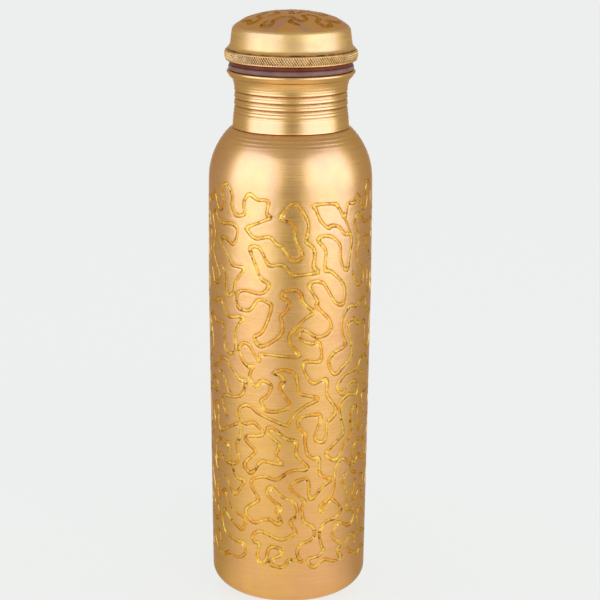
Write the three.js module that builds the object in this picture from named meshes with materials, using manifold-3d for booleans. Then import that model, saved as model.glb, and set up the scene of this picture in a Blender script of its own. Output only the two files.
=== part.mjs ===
// A copper water bottle with a screw cap: a drawn shell, a grooved neck sleeve with a flared
// collar, a threaded mouth ring, a soft neck gasket, and a spun cap with a threaded liner and a
// soft sealing disc. Millimetres, +Z up, the origin under the bottle's middle where it stands.

import * as THREE from 'three';
import { mergeVertices } from 'three/addons/utils/BufferGeometryUtils.js';
import Module from 'manifold-3d';

const wasm = await Module();
wasm.setup();

// ---- driving dimensions ------------------------------------------------------------------

const SIDES = 40;                 // straight sides that stand for a full circle
const GAP = 0.3;                  // clear space between pieces that lie against each other
const HEEL_STEPS = 7;             // straight steps in the heel's curve
const SHOULDER_STEPS = 7;         // and in the shoulder's

// The drawn shell.
const WALL = 0.8;                 // sheet thickness of the shell
const HEEL_R = 34.1;              // radius where the heel turns into the side
const HEEL_H = 13.1;              // height of the rounded heel
const STAND_OUT_R = 13.5;         // outer edge of the flat ring that the bottle stands on
const STAND_IN_R = 9.5;           // inner edge of that ring
const DISH_H = 1.6;               // height of the dished middle of the base
const BODY_R = 36;                // largest radius
const TAPER_TOP_Z = 144;          // the side widens slowly up to here
const SHOULDER_ARC_R = 31.2;      // radius of the rounded shoulder
const SHOULDER_ARC_Z = 190;       // height of that arc's centre, where the straight side ends
const SHOULDER_END_DEG = 45.5;    // where the shoulder meets the neck sleeve
const UPSTAND_R = 23.4;           // outer radius of the shell's short throat inside the sleeve
const UPSTAND_TOP_Z = 218;

// The neck sleeve.
const SLEEVE_Z = 212.75;          // lower edge, on the shoulder
const SLEEVE_IN_R = 23.75;
const COLLAR_TOP_Z = 237.8;
const COLLAR_R = 28.15;           // rim of the flared collar
const GROOVES_Z = [219.4, 222.4, 225.5, 228.6];
const GROOVE_DEPTH = 0.22;
const GROOVE_HALF = 0.5;          // half of a groove's width

// The threaded mouth ring.
const BORE_R = 22.4;              // the clear way into the bottle
const MOUTH_FIT_R = 23.4;         // the part held in the neck
const MOUTH_FIT_TOP_Z = 237;
const MOUTH_ROOT_R = 23.0;        // the wall under the thread
const MOUTH_BOTTOM_Z = UPSTAND_TOP_Z + GAP;
const MOUTH_TOP_Z = 254.5;
const LIP_R = 0.85;               // radius of the rolled drinking lip

// The screw thread that the mouth ring and the cap liner share, right-handed.
const PITCH = 4;
const THREAD_Z = 241.9;           // middle of the outer ridge where it starts
const THREAD_TURNS = 2.25;
const OUTER_CREST_R = 24.1;       // top of the ridge on the mouth ring
const INNER_CREST_R = 23.45;      // top of the ridge inside the cap liner
const CREST_HALF = 0.4;           // half of a ridge's width at its top
const FLANK_HALF = 0.95;          // half of a ridge's width at its root
const RIDGE_SINK = 0.3;           // how deep a ridge is set into its wall
const LEAD_STEPS = 6;             // steps over which a ridge rises from its wall

// The neck gasket.
const GASKET_BOTTOM_Z = 238.1;
const GASKET_TOP_Z = 239.9;
const GASKET_R = 27.4;
const GASKET_IN_R = 23.45;

// The cap liner and its sealing disc.
const FLANGE_R = 27;
const FLANGE_BOTTOM_Z = 240.2;
const FLANGE_TOP_Z = 241.9;
const LINER_ROOT_R = 24.5;        // the wall inside, between its thread ridges
const LINER_R = 25.2;
const LINER_CEILING_Z = 256.6;
const LINER_TOP_Z = 257.4;
const SEAL_BOTTOM_Z = MOUTH_TOP_Z + GAP;
const SEAL_TOP_Z = LINER_CEILING_Z - GAP;
const SEAL_R = 24.0;

// The spun cap shell.
const BEAD_R = 29.2;              // the knurled bead round the cap's lower edge
const BEAD_BOTTOM_Z = FLANGE_TOP_Z + GAP;
const CAP_IN_R = LINER_R + GAP;
const CAP_TOP_Z = 263.3;

// ---- shapes ------------------------------------------------------------------------------

const point = (r, z) => new THREE.Vector2(r, z);

// Points of an ellipse arc round (r, z), from one angle to the other, both ends included.
function arc(r, z, radiusR, radiusZ, fromDeg, toDeg, steps) {
  const points = [];
  for (let i = 0; i <= steps; i += 1) {
    const a = THREE.MathUtils.degToRad(fromDeg + ((toDeg - fromDeg) * i) / steps);
    points.push(point(r + radiusR * Math.cos(a), z + radiusZ * Math.sin(a)));
  }
  return points;
}

// A closed outline in (radius, height), anticlockwise, turned round the vertical axis.
function turned(outline) {
  const closed = [...outline];
  const first = outline[0];
  const last = outline[outline.length - 1];
  if (first.x > 0 || last.x > 0) {
    closed.push(first.clone());
  }
  const lathe = new THREE.LatheGeometry(closed, SIDES);
  lathe.rotateX(Math.PI / 2);
  return lathe;
}

function welded(geometry) {
  const bare = geometry.clone();
  bare.deleteAttribute('normal');
  bare.deleteAttribute('uv');
  return mergeVertices(bare, 1e-4);
}

function toSolid(geometry) {
  const mesh = welded(geometry);
  return new wasm.Manifold(new wasm.Mesh({
    numProp: 3,
    vertProperties: new Float32Array(mesh.attributes.position.array),
    triVerts: new Uint32Array(mesh.index.array),
  }));
}

function toGeometry(solid) {
  const mesh = solid.getMesh();
  const geometry = new THREE.BufferGeometry();
  geometry.setAttribute('position', new THREE.BufferAttribute(mesh.vertProperties, 3));
  geometry.setIndex(new THREE.BufferAttribute(mesh.triVerts, 1));
  geometry.computeVertexNormals();
  return geometry;
}

// A thread ridge as a closed sweep along a right-handed helix. It stands from the wall at
// rootR to crestR, outwards or inwards, and sinks back into the wall at both ends.
function threadRidge(rootR, crestR, startZ, turns) {
  const steps = Math.round(turns * SIDES);
  const out = Math.sign(crestR - rootR);
  const positions = [];
  for (let i = 0; i <= steps; i += 1) {
    const rise = Math.min(1, i / LEAD_STEPS, (steps - i) / LEAD_STEPS);
    const top = THREE.MathUtils.lerp(rootR - out * RIDGE_SINK / 2, crestR, rise);
    const half = THREE.MathUtils.lerp(0, CREST_HALF, rise) + 0.05;
    const a = (i / SIDES) * 2 * Math.PI;
    const z = startZ + (PITCH * i) / SIDES;
    const section = [
      [rootR - out * RIDGE_SINK, z - FLANK_HALF],
      [top, z - half],
      [top, z + half],
      [rootR - out * RIDGE_SINK, z + FLANK_HALF],
    ];
    for (const [r, height] of section) {
      positions.push(r * Math.cos(a), r * Math.sin(a), height);
    }
  }
  const index = [];
  const quad = (a, b, c, d) => {
    if (out > 0) {
      index.push(a, b, c, a, c, d);
    } else {
      index.push(a, c, b, a, d, c);
    }
  };
  for (let i = 0; i < steps; i += 1) {
    for (let k = 0; k < 4; k += 1) {
      const next = (k + 1) % 4;
      quad(4 * i + k, 4 * i + 4 + k, 4 * i + 4 + next, 4 * i + next);
    }
  }
  const last = 4 * steps;
  quad(0, 1, 2, 3);
  quad(last + 3, last + 2, last + 1, last);
  const geometry = new THREE.BufferGeometry();
  geometry.setAttribute('position', new THREE.Float32BufferAttribute(positions, 3));
  geometry.setIndex(index);
  return geometry;
}

function addNode(parent, name, geometry, material) {
  const mesh = new THREE.Mesh(geometry, material);
  mesh.name = name;
  parent.add(mesh);
  return mesh;
}

function finish(color, roughness, metalness) {
  return new THREE.MeshStandardMaterial({ color, roughness, metalness });
}

// ---- the drawn shell ---------------------------------------------------------------------

// Outline of the shell's side from the stand ring to the throat, moved in by inset.
function shellSkin(inset) {
  const stand = STAND_OUT_R - inset / 2;
  return [
    ...arc(stand, HEEL_H, HEEL_R - inset - stand, HEEL_H - inset, -90, 0, HEEL_STEPS),
    point(BODY_R - inset, TAPER_TOP_Z),
    ...arc(BODY_R - SHOULDER_ARC_R, SHOULDER_ARC_Z, SHOULDER_ARC_R - inset,
      SHOULDER_ARC_R - inset, 0, SHOULDER_END_DEG, SHOULDER_STEPS),
  ];
}

function bodyShell() {
  const outside = shellSkin(0);
  const inside = shellSkin(WALL).reverse();
  const dish = [
    point(0, DISH_H),
    point(STAND_IN_R - 3, DISH_H),
    point(STAND_IN_R, 0),
  ];
  const throat = [
    point(UPSTAND_R, SLEEVE_Z - GAP),
    point(UPSTAND_R, UPSTAND_TOP_Z),
    point(BORE_R, UPSTAND_TOP_Z),
    point(BORE_R, SLEEVE_Z - GAP - WALL),
  ];
  const floor = [
    point(STAND_IN_R, WALL),
    point(STAND_IN_R - 3, DISH_H + WALL),
    point(0, DISH_H + WALL),
  ];
  return turned([...dish, ...outside, ...throat, ...inside, ...floor]);
}

// ---- the neck sleeve ---------------------------------------------------------------------

// Outer radius of the sleeve between its lower edge and the collar.
const SLEEVE_LINE = [
  point(25.85, SLEEVE_Z),
  point(25.55, SLEEVE_Z + 0.8),
  point(25.3, 217.5),
  point(24.8, 221),
  point(24.65, 228.6),
  point(24.9, 230.6),
  point(25.4, 232.8),
];

function sleeveRadius(z) {
  for (let i = 1; i < SLEEVE_LINE.length; i += 1) {
    const [low, high] = [SLEEVE_LINE[i - 1], SLEEVE_LINE[i]];
    if (z <= high.y) {
      return THREE.MathUtils.mapLinear(z, low.y, high.y, low.x, high.x);
    }
  }
  return SLEEVE_LINE[SLEEVE_LINE.length - 1].x;
}

function neckSleeve() {
  const groove = (z) => [
    point(sleeveRadius(z - GROOVE_HALF), z - GROOVE_HALF),
    point(sleeveRadius(z) - GROOVE_DEPTH, z),
    point(sleeveRadius(z + GROOVE_HALF), z + GROOVE_HALF),
  ];
  const below = SLEEVE_LINE.filter((p) => p.y < GROOVES_Z[0] - GROOVE_HALF);
  const above = SLEEVE_LINE.filter((p) => p.y > GROOVES_Z[3] + GROOVE_HALF);
  const collar = [
    point(26.7, 234.7),
    point(27.7, 235.9),
    point(COLLAR_R, 237.0),
    point(COLLAR_R, 237.4),
    point(COLLAR_R - 0.3, COLLAR_TOP_Z),
  ];
  return turned([
    point(SLEEVE_IN_R, SLEEVE_Z),
    ...below,
    ...GROOVES_Z.flatMap(groove),
    ...above,
    ...collar,
    point(SLEEVE_IN_R, COLLAR_TOP_Z),
  ]);
}

// ---- the threaded mouth ring -------------------------------------------------------------

function mouthRing() {
  const lipR = MOUTH_ROOT_R - LIP_R;
  const lipZ = MOUTH_TOP_Z - LIP_R;
  const wall = turned([
    point(BORE_R, MOUTH_BOTTOM_Z),
    point(MOUTH_FIT_R, MOUTH_BOTTOM_Z),
    point(MOUTH_FIT_R, MOUTH_FIT_TOP_Z),
    point(MOUTH_ROOT_R, MOUTH_FIT_TOP_Z + 0.5),
    ...arc(lipR, lipZ, LIP_R, LIP_R, 0, 180, 6),
    point(lipR - LIP_R, lipZ - 0.6),
    point(BORE_R, lipZ - 1.4),
  ]);
  const ridge = threadRidge(MOUTH_ROOT_R, OUTER_CREST_R, THREAD_Z, THREAD_TURNS);
  return toGeometry(toSolid(wall).add(toSolid(ridge)));
}

// ---- the soft neck gasket ----------------------------------------------------------------

function neckGasket() {
  const half = (GASKET_TOP_Z - GASKET_BOTTOM_Z) / 2;
  const edge = 0.5;
  return turned([
    point(GASKET_IN_R, GASKET_BOTTOM_Z),
    ...arc(GASKET_R - edge, GASKET_BOTTOM_Z + half, edge, half, -90, 90, 4),
    point(GASKET_IN_R, GASKET_TOP_Z),
  ]);
}

// ---- the cap -----------------------------------------------------------------------------

function capShell() {
  return turned([
    point(CAP_IN_R, BEAD_BOTTOM_Z),
    point(BEAD_R - 0.7, BEAD_BOTTOM_Z),
    point(BEAD_R, BEAD_BOTTOM_Z + 1),
    point(BEAD_R, 245.4),
    point(28.9, 246.3),
    point(28.1, 247.15),
    point(27.2, 248.2),
    point(26.7, 249.5),
    point(26.2, 253.6),
    point(25.9, 255.3),
    point(25.3, 256.7),
    point(24.1, 257.6),
    point(22.5, 258.6),
    point(20.6, 259.7),
    point(17.5, 260.9),
    point(13, 262.15),
    point(7, 263),
    point(0, CAP_TOP_Z),
    point(0, CAP_TOP_Z - WALL),
    point(7, 263 - WALL),
    point(13, 262.15 - WALL),
    point(20, 259.2),
    point(23.6, LINER_TOP_Z + GAP),
    point(CAP_IN_R - 0.7, 256.4),
    point(CAP_IN_R, 254),
  ]);
}

function capLiner() {
  const cup = turned([
    point(0, LINER_CEILING_Z),
    point(LINER_ROOT_R, LINER_CEILING_Z),
    point(LINER_ROOT_R, FLANGE_BOTTOM_Z + 0.6),
    point(LINER_ROOT_R + 0.4, FLANGE_BOTTOM_Z),
    point(FLANGE_R - 0.3, FLANGE_BOTTOM_Z),
    point(FLANGE_R, FLANGE_BOTTOM_Z + 0.5),
    point(FLANGE_R, FLANGE_TOP_Z),
    point(LINER_R, FLANGE_TOP_Z),
    point(LINER_R, 253.7),
    point(24.5, 256.1),
    point(23.2, LINER_TOP_Z),
    point(0, LINER_TOP_Z),
  ]);
  const ridge = threadRidge(LINER_ROOT_R, INNER_CREST_R, THREAD_Z + PITCH / 2, THREAD_TURNS);
  return toGeometry(toSolid(cup).add(toSolid(ridge)));
}

function capSealDisc() {
  return turned([
    point(0, SEAL_BOTTOM_Z),
    point(SEAL_R - 0.2, SEAL_BOTTOM_Z),
    point(SEAL_R, SEAL_BOTTOM_Z + 0.2),
    point(SEAL_R, SEAL_TOP_Z - 0.2),
    point(SEAL_R - 0.2, SEAL_TOP_Z),
    point(0, SEAL_TOP_Z),
  ]);
}

// ---- assembly ----------------------------------------------------------------------------

const bottle = new THREE.Group();
const cap = new THREE.Group();
addNode(bottle, 'body_shell', bodyShell(), finish(0xdcae68, 0.36, 1));
addNode(bottle, 'neck_sleeve', neckSleeve(), finish(0xdcae68, 0.32, 1));
addNode(bottle, 'mouth_ring', mouthRing(), finish(0xd9a765, 0.3, 1));
addNode(bottle, 'neck_gasket', neckGasket(), finish(0x91696a, 0.6, 0));
addNode(cap, 'cap_shell', capShell(), finish(0xd6a566, 0.36, 1));
addNode(cap, 'cap_liner', capLiner(), finish(0x823218, 0.45, 0));
addNode(cap, 'cap_seal_disc', capSealDisc(), finish(0xd8d2c4, 0.6, 0));

const copperBottle = new THREE.Group();
copperBottle.add(bottle, cap);

export default copperBottle;
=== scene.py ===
"""A copper water bottle with a screw cap, engraved all round with a meander line.

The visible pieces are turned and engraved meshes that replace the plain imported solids. Their
lengths are in millimetres, and Build.piece turns them into Blender's metres. The stage, the lights
and the camera are in metres. +Z is up and the viewer stands on the -Y side.
"""
import math
import random

import bmesh
import bpy
import numpy as np
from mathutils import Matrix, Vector
from mathutils.geometry import delaunay_2d_cdt
from mathutils.kdtree import KDTree


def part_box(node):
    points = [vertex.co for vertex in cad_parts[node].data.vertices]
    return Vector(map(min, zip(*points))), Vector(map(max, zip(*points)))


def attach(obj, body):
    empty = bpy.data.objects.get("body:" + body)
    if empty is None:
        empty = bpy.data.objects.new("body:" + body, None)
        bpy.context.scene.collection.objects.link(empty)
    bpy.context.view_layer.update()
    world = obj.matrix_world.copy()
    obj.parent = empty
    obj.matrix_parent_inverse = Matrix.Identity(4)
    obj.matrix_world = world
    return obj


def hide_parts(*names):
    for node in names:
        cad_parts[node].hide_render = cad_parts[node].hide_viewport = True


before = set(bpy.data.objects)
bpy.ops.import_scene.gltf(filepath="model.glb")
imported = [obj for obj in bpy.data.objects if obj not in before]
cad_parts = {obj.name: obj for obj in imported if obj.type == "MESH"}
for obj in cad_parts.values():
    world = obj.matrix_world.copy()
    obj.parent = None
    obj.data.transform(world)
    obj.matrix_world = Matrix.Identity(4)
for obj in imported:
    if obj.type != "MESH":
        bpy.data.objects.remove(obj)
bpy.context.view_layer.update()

MM = 0.001


def levels(node):
    """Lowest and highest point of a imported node, in millimetres."""
    low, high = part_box(node)
    return low.z / MM, high.z / MM


# ---- sizes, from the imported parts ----

BODY_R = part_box("body_shell")[1].x / MM
COLLAR_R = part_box("neck_sleeve")[1].x / MM
GASKET_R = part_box("neck_gasket")[1].x / MM
FLANGE_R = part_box("cap_liner")[1].x / MM
BEAD_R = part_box("cap_shell")[1].x / MM
SEAL_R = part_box("cap_seal_disc")[1].x / MM
SLEEVE_Z, COLLAR_Z = levels("neck_sleeve")
GASKET_Z, GASKET_TOP_Z = levels("neck_gasket")
FLANGE_Z, LINER_TOP_Z = levels("cap_liner")
BEAD_Z, CAP_TOP_Z = levels("cap_shell")
SEAL_Z, SEAL_TOP_Z = levels("cap_seal_disc")
MOUTH_Z, MOUTH_TOP_Z = levels("mouth_ring")
THROAT_TOP_Z = levels("body_shell")[1]

# The drawn shell.
WALL = 0.8
HEEL_R = 34.1                     # where the rounded heel turns into the side
HEEL_H = 13.1
STAND_OUT_R = 13.5                # the flat ring that the bottle stands on
STAND_IN_R = 9.5
DISH_H = 1.6
TAPER_TOP_Z = 144                 # the side widens slowly up to here
SHOULDER_ARC_R = 31.2
SHOULDER_ARC_Z = 190
SHOULDER_END_DEG = 45.9
UPSTAND_R = 23.4                  # the short throat inside the neck sleeve
BORE_R = 22.4

# The mouth ring, its thread and the liner's.
MOUTH_FIT_H = 18.7                # height of the mouth ring's plain part, below its thread
MOUTH_ROOT_R = 23.0
LIP_R = 0.85                      # the rolled drinking lip
LINER_ROOT_R = 24.5
LINER_R = 25.2
PITCH = 4
THREAD_Z = 241.9                  # middle of the outer ridge where it starts
THREAD_TURNS = 2.25
OUTER_CREST_R = 24.1
INNER_CREST_R = 23.45
RIDGE_HALF = 0.95                 # half of a ridge's width at its root
RIDGE_FLANK = 0.55                # width of its sloping side
RIDGE_FADE = 0.05                 # share of a turn over which it rises out of the wall
THREAD_STEP = 0.22                # spacing of the rings that draw the ridges

# The engraving.
ENGRAVED_Z = (18, 194)            # the band of the side that is meshed for the engraving
PANEL_DEG = 120                   # the pattern repeats three times round
PANELS = 3
SIDES = 240                       # straight sides of the turned parts
BORDER_CLEAR = 0.45               # loose mesh points keep this far off the border of a region
LINE_STEP = 1.05                  # spacing of points along a line
HALF_WIDTH = 0.67                 # half of an engraved line's width
WIDTH_WANDER = 0.3                # share by which that width wanders
WIDTH_AT_TURNS = 0.6              # share that it gains at a sharp turn
SHARP_TURN = 0.6                  # in radians from one point to the next
GROOVE_WALL = 0.22                # width of the sloping side of the groove
GROOVE_DEPTH = 0.26
FILL_CROWN = 0.10                 # how far the gold fill stands up in the middle of the groove
RIM_OUT = 0.5                     # the metal beside a line is pushed up, most of all this far out
RIM_END = 1.7                     # and is level again this far out
RIM_H = 0.035
RIM_SLACK = 0.12                  # a rim's point is left out where another line is nearer by this
FILLER_STEP = 2.3                 # spacing of mesh points between the lines
FILLER_CLEAR = 0.8                # and how far they keep off the rims

# One panel of the meander: strokes split by /, each a run of points that are degrees round from
# the front and millimetres up.
MEANDERS = """
-66,186.5 -63,184.5 -61,181.5 -57.5,179.5 -54,180.5 -52.5,184 -55.5,187 -54,190 -50.5,191 -46.5,189
-44,186 -44.5,182 -42,179 -39,178 -33,179 -33.5,182 -33,185 -29,188 -23,186 -15,185.5 -16,180 -13,178.5
-16,177.5 -30.5,173.5 -30.5,172 -24,169 -14,170 -9,167 -5,166 2,160 8.5,162 4,169 3.5,174.5 0.5,176.5
-6,178.5 -2,183 2.5,185 5.5,184 12.5,176.5 11.5,170 11,168 16,165.5 17.5,162 16.5,156.5 20,154.5
3.5,153.5 0.5,154.5 -4.5,158 -12,157.5 -15.5,158.5 -21.5,165 -28.5,164.5 -26,160 -20.5,152 -14,149
-19.5,145 -30.5,145.5 -36,145 -39.5,143 -38.5,137.5 -29,137 -22,142 -14.5,141 -12.5,139 -18,129
-24.5,125.5 -24.5,123.5 -19,121.5 -6,127 -5,133 -6,135 -1.5,138.5 -0.5,142 -5.5,144 -2.5,146.5 4.5,147
8,145 8.5,142.5 13.5,139 17,137 10.5,134 1,128 0.5,123.5 7,118.5 3.5,117.5 -18.5,118 -21,117 -22,114.5
-29,121 -33,122 -36.5,121 -38,118.5 -35,114 -29,111.5 -25,112.5 -28,110 -29,107 -25.5,103.5 -23,103.5
-21,105.5 -17.5,106 -14,105 -12.5,103 -16,99 -19.5,97.5 -20,96 -16,92.5 -6,93 0.5,96 -5.5,102 -6,104.5
-3.5,106.5 -6,109 -11,110 -2.5,111.5 4.5,109 6.5,102.5 8.5,100.5 21,98 11.5,95 4,91.5 0,87.5 -2.5,86.5
-22,91 -26.5,93 -31,94 -35,93.5 -38.5,91.5 -38.5,88.5 -35.5,86 -32,85.5 -28,86.5 -24,86 -19,82.5 -21,81
-31,80 -32.5,78 -26,74.5 -25,73 -34,67 -30,63.5 -26,64.5 -21.5,68.5 -18,69.5 -7,68.5 -4.5,69 -7.5,71
-9,73.5 -6.5,77.5 -13,81 -15.5,83.5 -14,85 -10,84.5 -2.5,80.5 5.5,79 5.5,73 13.5,67.5 11.5,66 4.5,66
-0.5,65 -9,61.5 -18,62.5 -27,60.5 -28,57.5 -23,52.5 -23,51 -31,47.5 -33.5,45.5 -32,43 -28,41 -23.5,41
-15,43 -8,41 -5.5,42 -8.5,47 -6,49 -13,52.5 -16,55 -14.5,57.5 -11,57.5 -5,54 4.5,51 6.5,45.5 3,43.5
1.5,41.5 5.5,37.5 2.5,36 -6,34 -21,37 -28,34 -26,32 -22,31 -23.5,26.5 -22.5,23.5 -19.5,22.5 -17,24
-13.5,30 -5.5,29.5 -5,27 -13,24 -12.5,22 -5,21 -1.5,22.5 0.5,24.5 5.5,24.5 11,23.5 8,25 6.5,28 9,31.5
18,34 19.5,37 17.5,40 11.5,42 10,48.5 12,51 9.5,53 2,57 3.5,60 11.5,62 14.5,60 15,54 17.5,52.5 25.5,57.5
32.5,60.5 23.5,63 22.5,70.5 17.5,71 13.5,73 11.5,79 12,82 9,84 6.5,87 7.5,89.5 12.5,90.5 23,90 19,81
21,78.5 24.5,78 27.5,79.5 28.5,86.5 32.5,88.5 36,91 34,94 28,99 28,103 26.5,106.5 18.5,105 14.5,106.5
9.5,112.5 11.5,115 22.5,115 21.5,123 15.5,123 9.5,124.5 6,127 7,129.5 12.5,128.5 18.5,126 24.5,126
29.5,128 30.5,130.5 27.5,134 19,139.5 19.5,142 13.5,148 14.5,150 19.5,150.5 24.5,149 31.5,142 35.5,139.5
41,139.5 41,147 30.5,154 25,155.5 25.5,163.5 19.5,169 28.5,170 37,165.5 37.5,160 40,155.5 44,154
45.5,158 48,165 47,169.5 41,170 36,173.5 30,174.5 27.5,173.5 21.5,177 18,182 16.5,184 31.5,184 35,182.5
41,177.5 44,183 51,183 54,186.5
/
41,177 44,173.5 47,169.5
/
50,152 54,147 59,146.5 62.5,149 61.5,152 56,156 52,161 55.5,165.5 55,170 51.5,175.5 56,178 60,175.5
65,173.5 75,174 80.5,172.5 80.5,169 77,165 69.5,167 63.5,166 71,160.5 76,156 85,155.5 86.5,154.5
79,148.5 77,143.5 70,142.5 69.5,150 67,154
/
83,131 86,132.5 83,133.5 73.5,132.5 68.5,134.5 66,139 59,139 54,137 47,137.5 40.5,133 39.5,128 43,122
43,120 31.5,117 29,112.5 34.5,108 42,111 50,115 49,122 44,129 51,131.5 56,129 62,129 66.5,128 67.5,119
72.5,116 78.5,118 78.5,125.5 83,131
/
68.5,88 65,92 65.5,96 76,96.5 84,98.5 87.5,104.5 81,105.5 70,112.5 62,112.5 56,108.5 44,107 37,103
37.5,100.5 41.5,98.5 48,102 54,103 58,100.5 56,97 47,97.5 39.5,94.5 39,91 43,82 42,79.5 29.5,74 29,71
37.5,69 43.5,75 49,77.5 52,82 49.5,87.5 54,91.5 58.5,89 58,83.5 61,80 66.5,81 71.5,82.5 82.5,85 82,79
78.5,75 81,69 76,66 67,66 60.5,68.5 56,65.5 53,67.5 54.5,73.5 61,75.5 66,74.5 70.5,74.5 72,69 77.5,60.5
85.5,59 76,52 69.5,57.5 64.5,58.5
/
61,106.5 65,105.5 71.5,99
/
59,60.5 54,61.5 50.5,65.5 42.5,68.5 36.5,65 34.5,54 24.5,49 24,45.5 29.5,50.5 33.5,51 42,46 39,42.5
28.5,41 23.5,36.5 25.5,30 27.5,28 22.5,25.5 14.5,24.5 19,20.5 27.5,23.5 36.5,22 43.5,23.5 39.5,26
42,29.5 36,32.5 34.5,35 37.5,39 41,39.5 51,37 56.5,40.5 54,44 48,44.5 47.5,48.5 49,52 44,57 42,59.5
46.5,61.5
/
57.5,56.5 54.5,52 57,48 62.5,51.5 67,52 70,47 78,44 86,41.5 83,36.5 71.5,40 64.5,43.5 62,38.5 66,33
78,30.5 85,30 86,25.5 79,23 69.5,24 63,22 56,23.5 51.5,25 48,28.5 52,32 57.5,31.5 59,28
"""

# The short squiggles on the cap's dome: x and y in millimetres from its middle.
DOME_LINES = """
-20.5,-6 -18,-9.5 -18,-12.2 -15.5,-13.5 -13,-10.5 -14.5,-6.5 -11,-4 -12.5,0.5 -17.5,0 -20.5,3.5 -17,7
-18.5,11
/
-10.5,-15.5 -12.5,-18.5 -8.5,-19.5 -7.5,-16 -5,-13.5 -0.5,-13 1,-15.5 -0.5,-18.5 3,-20.5
/
1.5,-15.5 4.5,-17.5 6.5,-14.5 5,-11 8.5,-8.5 12,-11.5 11,-15.5 14,-17.5 17,-14.5 15.5,-11 19,-9.5
21,-5.5
/
-9,-9.5 -5.5,-7 -7,-3 -3.5,-0.5 0.5,-3.5 -0.5,-8 3.5,-6.5 5,-2 10,-3 13,-5.5 15,-2 12.5,1.5 17,4 20,1
21.5,6
/
-14,14.5 -10.5,12 -12,7.5 -8,4.5 -4.5,7.5 -6,12 -2,14 1.5,10.5 -0.5,6 3,3 7,5.5 5.5,10 9.5,12 13,8.5
17,11
/
-9,18.5 -4.5,17.5 -1,20 3,17 7.5,18.5 10.5,15.5
"""


def routes(text):
    """The strokes of a drawing above, as lists of (across, up) pairs."""
    strokes = []
    for stroke in text.split("/"):
        strokes.append([tuple(float(v) for v in pair.split(",")) for pair in stroke.split()])
    return strokes


# ---- meshes ----

MAIN, FILL, INSIDE = 0, 1, 2      # places in a piece's list of materials


class Build:
    """Gathers vertices and faces, in millimetres, with a material number for each face."""

    def __init__(self):
        self.points = []
        self.faces = []
        self.kinds = []
        self.edge = []

    def add(self, points, faces, kinds, edge=None):
        start = len(self.points)
        self.points += [tuple(p) for p in points]
        self.faces += [tuple(i + start for i in f) for f in faces]
        self.kinds += kinds
        self.edge += edge if edge is not None else [0.0] * len(points)

    def piece(self, name, materials, sharp_deg=38):
        mesh = bpy.data.meshes.new(name)
        mesh.from_pydata([Vector(p) * MM for p in self.points], [], self.faces)
        mesh.polygons.foreach_set("material_index", self.kinds)
        # the edge attribute holds each point's weight of painted shade
        attribute = mesh.attributes.new("edge", "FLOAT", "POINT")
        attribute.data.foreach_set("value", self.edge)
        for material in materials:
            mesh.materials.append(material)
        work = bmesh.new()
        work.from_mesh(mesh)
        bmesh.ops.remove_doubles(work, verts=work.verts, dist=3e-6)
        bmesh.ops.recalc_face_normals(work, faces=work.faces)
        work.to_mesh(mesh)
        work.free()
        mesh.shade_smooth()
        mesh.set_sharp_from_angle(angle=math.radians(sharp_deg))
        obj = bpy.data.objects.new(name, mesh)
        bpy.context.scene.collection.objects.link(obj)
        return obj


def arc(r, z, radius_r, radius_z, start, end, steps):
    angles = [math.radians(start + (end - start) * i / steps) for i in range(steps + 1)]
    return [(r + radius_r * math.cos(a), z + radius_z * math.sin(a)) for a in angles]


def circle(r, z, sides):
    """Points round the axis, from the viewer's side towards +X."""
    angles = [2 * math.pi * i / sides for i in range(sides)]
    return [(r * math.sin(a), -r * math.cos(a), z) for a in angles]


def turned(build, outline, sides=SIDES, kind=MAIN, height=None, kind_of=None, mark=None):
    """Turns an outline of (radius, height) round the axis. An outline that starts or ends at
    radius 0 gets a pole there. height(angle, z) may move a ring's points in or out, kind_of(band)
    may give each band its own material, and mark(angle, z) says how much painted shade a
    point gets, from 0 to 1."""
    rings = []
    points = []
    marks = []
    for r, z in outline:
        if r < 1e-6:
            rings.append([len(points)])
            points.append((0.0, 0.0, z))
            marks.append(0.0)
            continue
        ring = []
        for i in range(sides):
            a = 2 * math.pi * i / sides
            q = r + (height(a, z) if height else 0.0)
            ring.append(len(points))
            points.append((q * math.sin(a), -q * math.cos(a), z))
            marks.append(mark(a, z) if mark else 0.0)
        rings.append(ring)
    faces = []
    kinds = []
    for number, (low, high) in enumerate(zip(rings, rings[1:])):
        band = kind_of(number) if kind_of else kind
        for i in range(sides):
            j = (i + 1) % sides
            if len(low) == 1:
                faces.append((low[0], high[j], high[i]))
            elif len(high) == 1:
                faces.append((low[i], low[j], high[0]))
            else:
                faces.append((low[i], low[j], high[j], high[i]))
            kinds.append(band)
    build.add(points, faces, kinds, marks)


def seam(build, z_low, r_low, few, z_high, r_high, many):
    """Joins a ring of few points to one of many, where many is a multiple of few."""
    ratio = many // few
    points = circle(r_low, z_low, few) + circle(r_high, z_high, many)
    faces = []
    for i in range(few):
        inner = [few + (i * ratio + k) % many for k in range(ratio + 1)]
        middle = ratio // 2
        for k in range(ratio):
            corner = i if k < middle else (i + 1) % few
            faces.append((corner, inner[k + 1], inner[k]))
        faces.append((i, (i + 1) % few, inner[middle]))
    build.add(points, faces, [MAIN] * len(faces))


def smooth_line(points, step):
    """A smooth curve through points, as points about step apart."""
    p = np.array(points, float)
    padded = np.vstack([2 * p[0] - p[1], p, 2 * p[-1] - p[-2]])
    fine = []
    for a, b, c, d in zip(padded, padded[1:], padded[2:], padded[3:]):
        for t in np.linspace(0, 1, 12, endpoint=False):
            square = (2 * a - 5 * b + 4 * c - d) * t**2
            cube = (3 * b - a - 3 * c + d) * t**3
            fine.append(0.5 * (2 * b + (c - a) * t + square + cube))
    fine.append(p[-1])
    fine = np.array(fine)
    along = np.r_[0, np.cumsum(np.hypot(*np.diff(fine, axis=0).T))]
    count = max(3, round(along[-1] / step))
    places = np.linspace(0, along[-1], count + 1)
    return np.column_stack([np.interp(places, along, fine[:, k]) for k in (0, 1)])


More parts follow.
